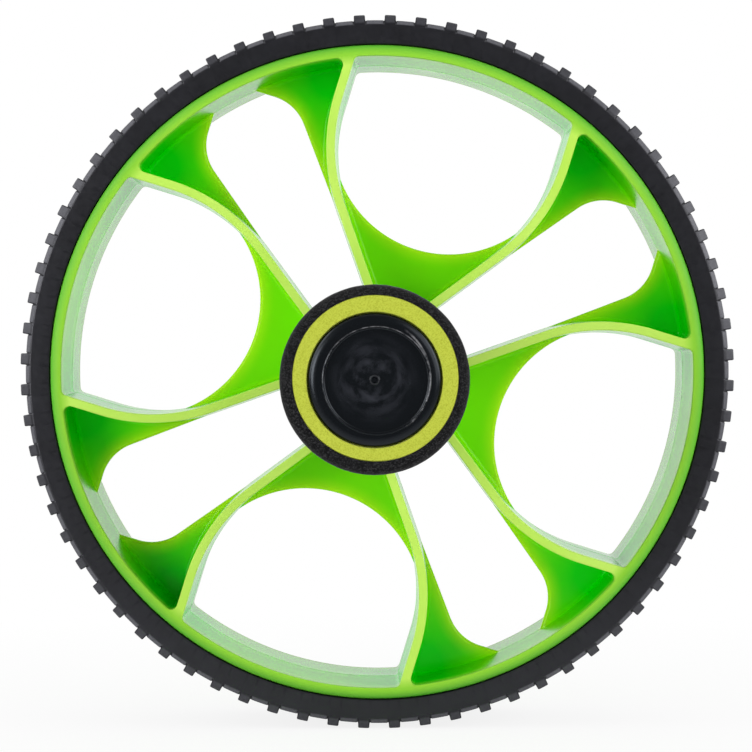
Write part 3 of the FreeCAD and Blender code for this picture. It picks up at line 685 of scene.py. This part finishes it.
def ring_edges(bm, ring):
    """The edges between a ring's corners."""
    return [bm.edges.get((ring[index - 1], ring[index])) for index in range(len(ring))]


def mirrored(levels):
    """Levels from one face of the wheel to the other, from those on the first side."""
    return levels + [(size, -y) for size, y in reversed(levels) if y > 0.0]


def quarter(steps):
    """Directions of a quarter turn in radians, from 0."""
    return [math.pi / 2.0 * step / steps for step in range(steps + 1)]


def wall_inset(y):
    """How far the mould draft brings a wall in, at a distance from the middle plane."""
    return (RIM_Y - EDGE_ROUND - abs(y)) * DRAFT


def wall_levels():
    """Inset and height of a window's wall: soft edges and a fine raised line where the mould parts."""
    soft = []
    for a in quarter(steps=6):
        soft.append((EDGE_ROUND * (math.sin(a) - 1.0), RIM_Y - EDGE_ROUND * (1.0 - math.cos(a))))
    step = [(wall_inset(WALL_STEP_Y), WALL_STEP_Y)]
    parting = [(wall_inset(FLASH_HALF), FLASH_HALF), (wall_inset(0.0) + FLASH_HEIGHT, 0.0)]
    return mirrored(soft + step + parting)


def tread_levels():
    """Radius and height of the rim's outside: rounded shoulders, flanges and the tyre's seat."""
    shoulder = []
    for a in quarter(steps=8):
        shoulder.append((FLANGE_R - RIM_ROUND * (1.0 - math.sin(a)), RIM_Y - RIM_ROUND * (1.0 - math.cos(a))))
    return mirrored(shoulder + [(FLANGE_R, FLANGE_Y), (SEAT_R, FLANGE_Y)])


def hub_levels():
    """Radius and height of the hub's end, the seats of the bushes and the bore."""
    edge_y = HUB_Y - HUB_ROUND
    edge_r = HUB_STEP_R - HUB_ROUND
    lip_r = BUSH_SEAT_R + HUB_ROUND
    turns = quarter(steps=6)
    edge = [(edge_r + HUB_ROUND * math.cos(a), edge_y + HUB_ROUND * math.sin(a)) for a in turns]
    lip = [(lip_r - HUB_ROUND * math.sin(a), edge_y + HUB_ROUND * math.cos(a)) for a in turns]
    seat = [(BUSH_SEAT_R, BUSH_SEAT_Y), (HUB_BORE_R, BUSH_SEAT_Y)]
    return mirrored([(HUB_STEP_R, RIM_Y)] + edge + lip + seat)


def wheel_frame():
    """Rim, ribs and hub: a thick ring with a hole for every window."""
    bm = bmesh.new()
    wall = wall_levels()
    stacks = [[outline_ring(bm, half(inset), angle, y) for inset, y in wall] for half, _, angle in WINDOWS]
    stacks.append([round_ring(bm, radius, y, RIM_SEGMENTS) for radius, y in tread_levels()])
    stacks.append([round_ring(bm, radius, y, HUB_SEGMENTS) for radius, y in hub_levels()])
    for rings in stacks:
        bridge(bm, rings)
    for end, facing in ((0, 1.0), (-1, -1.0)):
        edges = [edge for rings in stacks for edge in ring_edges(bm, rings[end])]
        bmesh.ops.triangle_fill(bm, use_beauty=True, edges=edges, normal=(0.0, facing, 0.0))
    return bm


def stack_up(bm, rings):
    """A closed solid from rings of corners, one above the other."""
    bridge(bm, rings)
    bm.faces.new(rings[0])
    bm.faces.new(rings[-1])


def web_plates():
    """The thin web in every window, with a fillet to the walls round it."""
    top = WEB_HALF + WEB_FILLET
    reach = WEB_FILLET + WEB_SUNK
    turns = quarter(steps=10)
    fillet = [(WEB_FILLET - reach * math.cos(a), top - WEB_FILLET * math.sin(a)) for a in turns]
    levels = mirrored(list(reversed(fillet)))
    bm = bmesh.new()
    for half, _, angle in WINDOWS:
        stack_up(bm, [outline_ring(bm, half(wall_inset(y) + size), angle, y) for size, y in levels])
    return bm


def web_holes():
    """What is cut out of the webs: openings that flare towards both faces and so leave rounded edges."""
    start = WEB_HALF - WEB_ROUND
    turns = quarter(steps=6)[:-1]
    flare = [(WEB_ROUND * (1.0 - math.cos(a)), start + WEB_ROUND * math.sin(a)) for a in turns]
    above = [(WEB_ROUND * CUT_WIDEN, WEB_HALF + WEB_FILLET * CUT_HEIGHT), (WEB_ROUND, WEB_HALF * CUT_CLEAR)]
    levels = mirrored(above + list(reversed(flare)))
    bm = bmesh.new()
    for _, half, angle in WINDOWS:
        stack_up(bm, [outline_ring(bm, half(size), angle, y) for size, y in levels])
    return bm


def to_object(name, bm):
    """An object in the scene from a closed bmesh."""
    bmesh.ops.recalc_face_normals(bm, faces=bm.faces)
    mesh = bpy.data.meshes.new(name)
    bm.to_mesh(mesh)
    bm.free()
    piece = bpy.data.objects.new(name, mesh)
    bpy.context.scene.collection.objects.link(piece)
    return piece


def combine(base, tool, operation):
    """Join or cut a solid with another one, which is used up."""
    modifier = base.modifiers.new("combine", "BOOLEAN")
    modifier.operation = operation
    modifier.solver = "MANIFOLD"
    modifier.object = tool
    depsgraph = bpy.context.evaluated_depsgraph_get()
    mesh = bpy.data.meshes.new_from_object(base.evaluated_get(depsgraph))
    base.modifiers.clear()
    base.data = mesh
    bpy.data.objects.remove(tool)


def merge_corners(piece):
    """Make one corner of those that joining and cutting left within a few microns of each other."""
    bm = bmesh.new()
    bm.from_mesh(piece.data)
    bmesh.ops.remove_doubles(bm, verts=bm.verts, dist=MERGE_REACH * MM)
    bm.to_mesh(piece.data)
    bm.free()


def shade(piece, sharp_degrees=35.0):
    """Smooth faces with crisp edges where the surface turns sharply."""
    mesh = piece.data
    mesh.shade_smooth()
    mesh.set_sharp_from_angle(angle=math.radians(sharp_degrees))
    normals = piece.modifiers.new("normals", "WEIGHTED_NORMAL")
    normals.keep_sharp = True


def dress(piece, material, body, slot, *nodes):
    """Give a piece its material, its body and the nodes that it stands for. The record slot is not used."""
    piece.data.materials.clear()
    piece.data.materials.append(material)
    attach(piece, body)
    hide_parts(*nodes)


def make_wheel(material):
    """The moulded wheel: frame, webs and their openings as one solid."""
    webs = to_object("wheel_webs", web_plates())
    combine(webs, to_object("wheel_holes", web_holes()), "DIFFERENCE")
    wheel = to_object("wheel_moulding", wheel_frame())
    combine(wheel, webs, "UNION")
    merge_corners(wheel)
    shade(wheel, WHEEL_SHARP)
    dress(wheel, material, "wheel", "wheel_plastic", "wheel_body")


def tyre_ring(bm, section, turn, share):
    """Corners of the tyre's section at one turn, raised to a lug or sunk to a groove by a share."""
    ring = []
    for (y, radius), (lug_y, lug_radius) in section:
        rise = lug_radius - radius if share > 0.0 else GROOVE * (lug_radius > radius)
        r = radius + rise * share
        spot = Vector((r * math.cos(turn), y + (lug_y - y) * max(share, 0.0), r * math.sin(turn)))
        ring.append(bm.verts.new(spot * MM))
    return ring


def make_tyre(material):
    """The rubber tyre: one closed band with block lugs across its tread."""
    columns = [(-step, share) for step, share in reversed(LUG_STEPS[1:-1])] + LUG_STEPS
    other_side = [((-y, r), (-lug_y, lug_r)) for (y, r), (lug_y, lug_r) in reversed(TYRE_SECTION[1:-1])]
    section = TYRE_SECTION + other_side
    bm = bmesh.new()
    rings = []
    for lug in range(LUG_COUNT):
        middle = math.radians(FIRST_LUG + 360.0 / LUG_COUNT * lug)
        rings += [tyre_ring(bm, section, middle + step / TREAD_R, share) for step, share in columns]
    bridge(bm, rings, closed=True)
    tyre = to_object("tyre_band", bm)
    shade(tyre)
    dress(tyre, material, "wheel", "tyre_rubber", "tyre")


def lathe(section, segments, shift):
    """Turn a closed section of radii and places, with each ring's centre shifted by its radius."""
    bm = bmesh.new()
    rings = [round_ring(bm, radius, y, segments, shift(radius)) for radius, y in section]
    bridge(bm, rings, closed=True)
    return bm


def turned(section, segments, shift):
    """Turn a section that starts and ends on the axle, shifting each ring by its radius and place."""
    bm = bmesh.new()
    tips = [bm.verts.new(Vector((0.0, section[end][1], 0.0)) * MM) for end in (0, -1)]
    rings = [round_ring(bm, radius, y, segments, shift(radius, y)) for radius, y in section[1:-1]]
    bridge(bm, rings)
    for tip, ring in ((tips[0], rings[0]), (tips[1], rings[-1])):
        for index in range(segments):
            bm.faces.new((tip, ring[index - 1], ring[index]))
    return bm


def roughen(bm, depth_mm, size_mm, wanted):
    """Move the corners of a mesh a little in and out, as on skinned foam."""
    bm.normal_update()
    for corner in bm.verts:
        if wanted(corner.co):
            corner.co += corner.normal * (depth_mm * MM * noise.noise(corner.co / (size_mm * MM)))


def steps_between(start, finish, count):
    """Evenly spaced values, both ends included."""
    return [start + (finish - start) * step / count for step in range(count + 1)]


def make_sleeve(side, sign, material):
    """The black outer foam layer of a grip, with rounded ends."""
    r, low, high = SLEEVE_R - GRIP_ROUND, GRIP_Y + GRIP_ROUND, GRIP_END_Y - GRIP_ROUND
    turns = quarter(steps=8)
    inner_end = [(r + GRIP_ROUND * math.sin(a), low - GRIP_ROUND * math.cos(a)) for a in turns]
    outer_end = [(r + GRIP_ROUND * math.cos(a), high + GRIP_ROUND * math.sin(a)) for a in turns]
    length = [(SLEEVE_R, y) for y in steps_between(low, high, count=100)[1:-1]]
    section = inner_end + length + outer_end + [(SLEEVE_BORE_R, GRIP_END_Y), (SLEEVE_BORE_R, GRIP_Y)]
    bm = lathe([(radius, sign * y) for radius, y in section], GRIP_SEGMENTS,
               lambda radius: LAYER_SHIFT if radius == SLEEVE_BORE_R else AXLE)
    roughen(bm, depth_mm=0.04, size_mm=1.2,
            wanted=lambda spot: math.hypot(spot.x, spot.z) > SLEEVE_SKIN_R * MM)
    piece = to_object(f"grip_outer_foam_{side}", bm)
    shade(piece)
    dress(piece, material, "handle", "sleeve_foam", f"grip_sleeve_{side}")


def make_core(side, sign, material):
    """The yellow-green inner foam layer of a grip, open at its end for the cap."""
    edge_y = GRIP_END_Y - CORE_EDGE
    across = steps_between(CORE_R - CORE_EDGE, CAP_SEAT_R + CORE_EDGE, count=10)
    section = [(CORE_BORE_R, GRIP_Y), (CORE_R, GRIP_Y), (CORE_R, edge_y)]
    section += [(radius, GRIP_END_Y) for radius in across]
    section += [(CAP_SEAT_R, edge_y), (CAP_SEAT_R, CAP_SEAT_Y), (CORE_BORE_R, CAP_SEAT_Y)]
    bm = lathe([(radius, sign * y) for radius, y in section], GRIP_SEGMENTS,
               lambda radius: LAYER_SHIFT if radius > CORE_SHIFT_R else AXLE)
    piece = to_object(f"grip_inner_foam_{side}", bm)
    shade(piece)
    dress(piece, material, "handle", "core_foam", f"grip_core_{side}")


def make_cap(side, sign, material):
    """The plug in the end of the tube, turned from one section that starts and ends on the axle."""
    border = CAP_END_Y - RIDGE
    dish = CAP_END_Y - DISH_DEPTH
    inner = DISH_R + RIDGE
    foot_r, foot_y = DISH_R - FOOT_ROUND, dish + FOOT_ROUND
    across, down = CAP_ROUND
    back = [(0.0, CAP_SEAT_Y), (SPIGOT_BORE_R, CAP_SEAT_Y), (SPIGOT_BORE_R, SPIGOT_Y), (SPIGOT_R, SPIGOT_Y)]
    seat = [(SPIGOT_R, CAP_SEAT_Y), (CAP_R, CAP_SEAT_Y)]
    turns = quarter(steps=10)
    rim = [(CAP_R - across * (1.0 - math.cos(a)), border - down * (1.0 - math.sin(a))) for a in turns]
    ridge = [(inner + RIDGE * math.cos(a), border + RIDGE * math.sin(a)) for a in quarter(steps=5)]
    lip = [(inner - RIDGE * math.sin(a), border + RIDGE * math.cos(a)) for a in quarter(steps=5)[1:]]
    foot = [(foot_r + FOOT_ROUND * math.cos(a), foot_y - FOOT_ROUND * math.sin(a)) for a in quarter(steps=4)]
    gate = [(GATE_R + GATE_H, dish), (GATE_R, dish + GATE_H)]
    gate += [(GATE_R * GATE_LIP, dish + GATE_H), (GATE_R * GATE_PIT, dish)]
    section = back + seat + rim + ridge + lip + foot + gate + [(0.0, dish)]

    def dish_shift(radius, y):
        """The dish and its raised line are a little off centre."""
        on_dish = GATE_R + GATE_H < radius < inner + 2.0 * RIDGE
        return DISH_SHIFT if on_dish and abs(y) > CAP_SEAT_Y else AXLE

    bm = turned([(radius, sign * y) for radius, y in section], HUB_SEGMENTS, dish_shift)
    piece = to_object(f"end_plug_{side}", bm)
    shade(piece)
    dress(piece, material, "handle", "cap_plastic", f"end_cap_{side}")


def dress_node(name, material):
    """A new finish for a piece that keeps its own shape."""
    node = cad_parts[name]
    node.data.materials.clear()
    node.data.materials.append(material)


def make_camera():
    """The camera that sees the roller along its axle."""
    data = bpy.data.cameras.new("camera")
    data.lens = LENS_MM
    data.sensor_width = SENSOR_MM
    data.clip_start, data.clip_end = CAMERA_CLIP
    camera = bpy.data.objects.new("camera", data)
    turn = CAMERA_AIM.to_track_quat("-Z", "Y").to_matrix().to_4x4()
    camera.matrix_world = Matrix.Translation(CAMERA_PLACE) @ turn @ Matrix.Rotation(-CAMERA_ROLL, 4, "Z")
    bpy.context.scene.collection.objects.link(camera)
    bpy.context.scene.camera = camera


def make_lamp(name, place, size, power):
    """A round soft lamp that points at the object."""
    data = bpy.data.lights.new(name, "AREA")
    data.shape = "DISK"
    data.size = size
    data.energy = power
    lamp = bpy.data.objects.new(name, data)
    lamp.location = place
    lamp.visible_camera = False
    lamp.rotation_euler = (-Vector(place)).to_track_quat("-Z", "Y").to_euler()
    bpy.context.scene.collection.objects.link(lamp)


def make_world():
    """A studio with a dim front. The camera sees white, and so do reflections of what lies behind."""
    world = bpy.data.worlds.new("studio")
    bpy.context.scene.world = world
    world.use_nodes = True
    nodes, links = world.node_tree.nodes, world.node_tree.links
    studio = nodes["Background"]
    studio.inputs["Color"].default_value = WHITE
    way = nodes.new("ShaderNodeSeparateXYZ")
    links.new(nodes.new("ShaderNodeTexCoord").outputs["Generated"], way.inputs[0])

    def by_direction(front, back):
        """A value that goes from one in front of the object to another behind it."""
        node = nodes.new("ShaderNodeMapRange")
        limits = (("From Min", -STUDIO_TURN), ("From Max", STUDIO_TURN), ("To Min", front), ("To Max", back))
        for key, value in limits:
            node.inputs[key].default_value = value
        links.new(way.outputs["Y"], node.inputs["Value"])
        return node.outputs["Result"]

    def join(operation, first, second):
        """The result of an operation on two outputs."""
        node = nodes.new("ShaderNodeMath")
        node.operation = operation
        links.new(first, node.inputs[0])
        links.new(second, node.inputs[1])
        return node.outputs[0]

    links.new(by_direction(STUDIO_FRONT, STUDIO_BACK), studio.inputs["Strength"])
    white = nodes.new("ShaderNodeBackground")
    white.inputs["Color"].default_value = WHITE
    ray = nodes.new("ShaderNodeLightPath").outputs
    through = join("MAXIMUM", ray["Is Glossy Ray"], ray["Is Transmission Ray"])
    behind = join("MULTIPLY", through, by_direction(0.0, 1.0))
    mix = nodes.new("ShaderNodeMixShader")
    links.new(join("MAXIMUM", ray["Is Camera Ray"], behind), mix.inputs["Fac"])
    links.new(studio.outputs[0], mix.inputs[1])
    links.new(white.outputs[0], mix.inputs[2])
    links.new(mix.outputs[0], nodes["World Output"].inputs["Surface"])


def floor_look():
    """Pale, with a soft shadow near the wheel, and white further off."""
    shader = Shader("floor_look")
    shader.set(Base_Color=FLOOR_WHITE, Roughness=0.9, Specular_IOR_Level=0.0)
    away = shader.add("VectorMath", {0: shader.place()}, operation="LENGTH").outputs["Value"]
    along = shader.place_parts()["Y"]
    ray = shader.add("LightPath").outputs
    # Reflections see the floor as they see the studio: dim in front of the object and white behind it.
    strength = shader.math("MAXIMUM", shader.zone(along, FLOOR_TURN, FLOOR_FRONT, 1.0), ray["Is Camera Ray"])
    glow = shader.add("Emission", {"Color": WHITE, "Strength": strength}).outputs[0]
    seen = shader.times(shader.zone(away, FLOOR_FADE, FLOOR_NEAR, 1.0), ray["Is Camera Ray"])
    reflected = shader.times(shader.zone(away, FLOOR_MIRROR), ray["Is Glossy Ray"])
    factor = shader.math("ADD", seen, reflected)
    mix = shader.add("MixShader", {"Fac": factor, 1: shader.surface.outputs[0], 2: glow})
    shader.tree.links.new(mix.outputs[0], shader.output.inputs["Surface"])
    return shader.material


def make_floor(material):
    """A wide flat floor under the wheel."""
    bm = bmesh.new()
    corners = [(-1.0, -1.0), (1.0, -1.0), (1.0, 1.0), (-1.0, 1.0)]
    bm.faces.new([bm.verts.new((x * FLOOR_REACH, y * FLOOR_REACH, FLOOR_Z)) for x, y in corners])
    mesh = bpy.data.meshes.new("floor")
    bm.to_mesh(mesh)
    bm.free()
    mesh.materials.append(material)
    floor = bpy.data.objects.new("floor", mesh)
    bpy.context.scene.collection.objects.link(floor)


make_camera()
make_world()
for LAMP in LAMPS:
    make_lamp(*LAMP)
make_floor(floor_look())
make_wheel(wheel_plastic())
make_tyre(tyre_rubber())
SLEEVE_LOOK = foam("sleeve_foam_look", FOAM_BLACK, cell_mm=0.22, share=0.75)
CORE_LOOK = foam("core_foam_look", FOAM_LIME, cell_mm=0.20, share=0.25)
CAP_LOOK = cap_plastic()
STEEL_LOOK = steel("steel_look", STEEL_GREY, roughness=0.28)
NYLON_LOOK = moulded("nylon_look", NYLON_CREAM, roughness=0.38)
COLLAR_LOOK = moulded("collar_look", COLLAR_BLACK, roughness=0.42)
dress_node("axle_tube", STEEL_LOOK)
for SIDE, SIGN in SIDES:
    make_sleeve(SIDE, SIGN, SLEEVE_LOOK)
    make_core(SIDE, SIGN, CORE_LOOK)
    make_cap(SIDE, SIGN, CAP_LOOK)
    dress_node(f"hub_bush_{SIDE}", NYLON_LOOK)
    dress_node(f"thrust_washer_{SIDE}", STEEL_LOOK)
    dress_node(f"collar_screw_{SIDE}", STEEL_LOOK)
    dress_node(f"stop_collar_{SIDE}", COLLAR_LOOK)
bpy.context.scene.view_settings.view_transform = "Standard"
